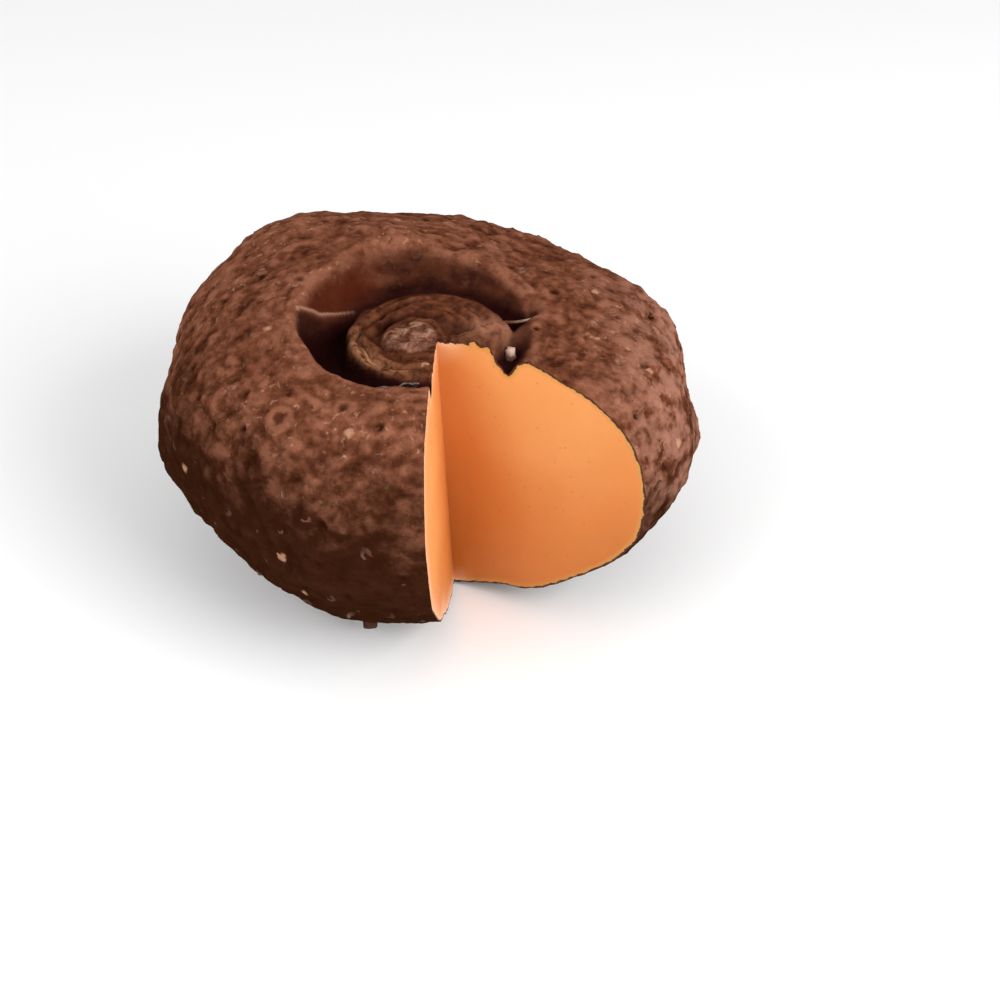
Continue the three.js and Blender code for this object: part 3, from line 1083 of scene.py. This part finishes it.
def addSheet(shape, grid, rises, thickness):
    # A closed thin sheet from a grid of points: one side, the other side, and the edge between them.
    grid = np.array(grid)
    rows, columns = grid.shape[:2]
    across = np.gradient(grid, axis=1)
    down = np.gradient(grid, axis=0)
    normals = np.cross(across, down)
    normals /= np.linalg.norm(normals, axis=2)[:, :, None] + 1e-12
    points = np.concatenate([(grid + normals * thickness / 2).reshape(-1, 3),
                             (grid - normals * thickness / 2).reshape(-1, 3)])
    other = rows * columns
    faces = []
    for row in range(rows - 1):
        for column in range(columns - 1):
            corner = row * columns + column
            faces.append((corner, corner + 1, corner + columns + 1, corner + columns))
            faces.append(tuple(other + index for index in faces[-1])[::-1])
    border = [c for c in range(columns)] + [r * columns + columns - 1 for r in range(1, rows)]
    border += [(rows - 1) * columns + c for c in range(columns - 2, -1, -1)]
    border += [r * columns for r in range(rows - 2, 0, -1)]
    for first, second in zip(border, border[1:] + border[:1]):
        faces.append((first, second, other + second, other + first))
    shape.add(points, faces, list(np.array(rises).reshape(-1)) * 2)


def addTube(shape, path, radii, sides=10, wave=0.12, tone=1.0):
    # A closed round rod along a path, a little uneven.
    path = [Vector(p) for p in path]
    points, faces = [], []
    for index, (place, radius) in enumerate(zip(path, radii)):
        ahead = path[min(index + 1, len(path) - 1)] - path[max(index - 1, 0)]
        turned = ahead.to_track_quat("Z", "Y")
        for side in range(sides):
            angle = 2 * math.pi * side / sides
            reach = radius * (1 + wave * math.sin(3 * angle + 1.7 * index))
            points.append(place + turned @ Vector((reach * math.cos(angle), reach * math.sin(angle), 0)))
    for ring in range(len(path) - 1):
        for side in range(sides):
            following = (side + 1) % sides
            low, high = ring * sides, (ring + 1) * sides
            faces.append((low + side, low + following, high + following, high + side))
    faces.append(tuple(range(sides))[::-1])
    faces.append(tuple(range(len(points) - sides, len(points))))
    shape.add(points, faces, np.repeat(np.linspace(0, 1, len(path)), sides), tone)


def addSheath(shape, heightAt, turn, degrees, radius, height, lean):
    grid, rises = [], []
    for upwards in np.linspace(0, 1, sheath["rows"]):
        row, rowRises = [], []
        for along in np.linspace(-1, 1, sheath["columns"]):
            ragged = 0.85 + 0.12 * math.sin(4.2 * along + turn) + 0.05 * math.sin(11 * along + 2 * turn)
            tall = height * (1 - along ** 4) * ragged + 0.0004
            curl = sheath["curl"] * math.sin(4 * along + turn)
            x, y = crownPlace(radius + lean * upwards + curl, turn + degrees / 2 * along)
            footX, footY = crownPlace(radius, turn + degrees / 2 * along)
            foot = heightAt(footX, footY) - sheath["sunk"]
            row.append((x, y, foot + (tall + sheath["sunk"]) * upwards))
            rowRises.append(upwards)
        grid.append(row)
        rises.append(rowRises)
    addSheet(shape, grid, rises, sheath["thickness"])


def makeCrownSheaths(heightAt):
    shape = Shape()
    for sheathPlace in sheathPlaces:
        addSheath(shape, heightAt, *sheathPlace)
    return shape.finish("crown_sheaths", sheathMaterial)


def makeRootStubs(heightAt):
    shape = Shape()
    start, end = [np.array((*point, heightAt(*point))) for point in (strand["start"], strand["end"])]
    path = [mix(start, end, s) - np.array((0, 0, strand["sag"] * math.sin(math.pi * s)))
            for s in np.linspace(-0.1, 1.1, 12)]
    addTube(shape, path, [strand["radius"] * (1 - 0.3 * s) for s in np.linspace(0, 1, 12)])
    x, y = crownStub["centre"]
    foot = heightAt(x, y) - 0.002
    steps = np.linspace(0, 1, 6)
    path = [(x + 0.0006 * s, y - 0.0010 * s, foot + (crownStub["height"] + 0.002) * s) for s in steps]
    addTube(shape, path, [crownStub["radius"] * (1.15 - 0.35 * s ** 3) for s in steps], wave=0.3)
    lean = math.radians(baseStub["lean"])
    path = [(baseStub["start"][0], baseStub["start"][1] - baseStub["length"] * math.cos(lean) * s,
             baseStub["start"][2] - baseStub["length"] * math.sin(lean) * s) for s in steps]
    addTube(shape, path, [mix(baseStub["baseRadius"], baseStub["tipRadius"], s) for s in steps], tone=0.0)
    return shape.finish("root_stubs", rootMaterial)


heightAt = surfaceFinder(corm)
crownSheaths = makeCrownSheaths(heightAt)
rootStubs = makeRootStubs(heightAt)
print("crown dressed")


for piece in (corm, rootScars, driedRoots, crownSheaths, rootStubs):
    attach(piece, "root")
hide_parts("corm")


# Floor, light and camera.
studio = dict(
    floorSize=6.0,
    floorColour=(0.88, 0.88, 0.88),
    worldStrength=0.68,
    keyEnergy=27, keySize=1.1, keyPlace=(1.10, -0.90, 0.95),
    fillEnergy=15, fillSize=1.6, fillPlace=(-1.25, -0.70, 0.95),
)
cameraView = dict(
    elevation=38,                   # degrees above the horizontal
    distance=0.85,
    lens=65,                        # millimetres
    slideRight=0.033,
    slideUp=-0.0381,
    aimHeight=0.072,
)


def makeFloor():
    half = studio["floorSize"] / 2
    corners = [(-half, -half, 0), (half, -half, 0), (half, half, 0), (-half, half, 0)]
    material, tree, shader = newMaterial("paleFloor")
    shader.inputs["Base Color"].default_value = (*studio["floorColour"], 1)
    shader.inputs["Roughness"].default_value = 0.9
    newObject("floor", corners, [(0, 1, 2, 3)], [material])


def addSoftLight(name, energy, size, place):
    light = bpy.data.lights.new(name, "AREA")
    light.energy = energy
    light.size = size
    made = bpy.data.objects.new(name, light)
    made.location = place
    made.rotation_mode = "QUATERNION"
    towardsCorm = Vector((0, 0, cameraView["aimHeight"])) - Vector(place)
    made.rotation_quaternion = towardsCorm.to_track_quat("-Z", "Y")
    bpy.context.scene.collection.objects.link(made)


def lightStudio():
    world = bpy.data.worlds.new("studio")
    world.use_nodes = True
    background = world.node_tree.nodes["Background"]
    background.inputs["Color"].default_value = (1, 1, 1, 1)
    background.inputs["Strength"].default_value = studio["worldStrength"]
    bpy.context.scene.world = world
    addSoftLight("key", studio["keyEnergy"], studio["keySize"], studio["keyPlace"])
    addSoftLight("fill", studio["fillEnergy"], studio["fillSize"], studio["fillPlace"])
    bpy.context.scene.view_settings.view_transform = "Standard"


def placeCamera():
    data = bpy.data.cameras.new("camera")
    data.lens = cameraView["lens"]
    camera = bpy.data.objects.new("camera", data)
    down = math.radians(cameraView["elevation"])
    forward = Vector((0, math.cos(down), -math.sin(down)))
    upwards = Vector((0, math.sin(down), math.cos(down)))
    aim = Vector((0, 0, cameraView["aimHeight"]))
    slide = Vector((cameraView["slideRight"], 0, 0)) + upwards * cameraView["slideUp"]
    camera.location = aim - forward * cameraView["distance"] + slide
    camera.rotation_euler = (math.pi / 2 - down, 0, 0)
    bpy.context.scene.collection.objects.link(camera)
    bpy.context.scene.camera = camera


makeFloor()
lightStudio()
placeCamera()
print("stage set")
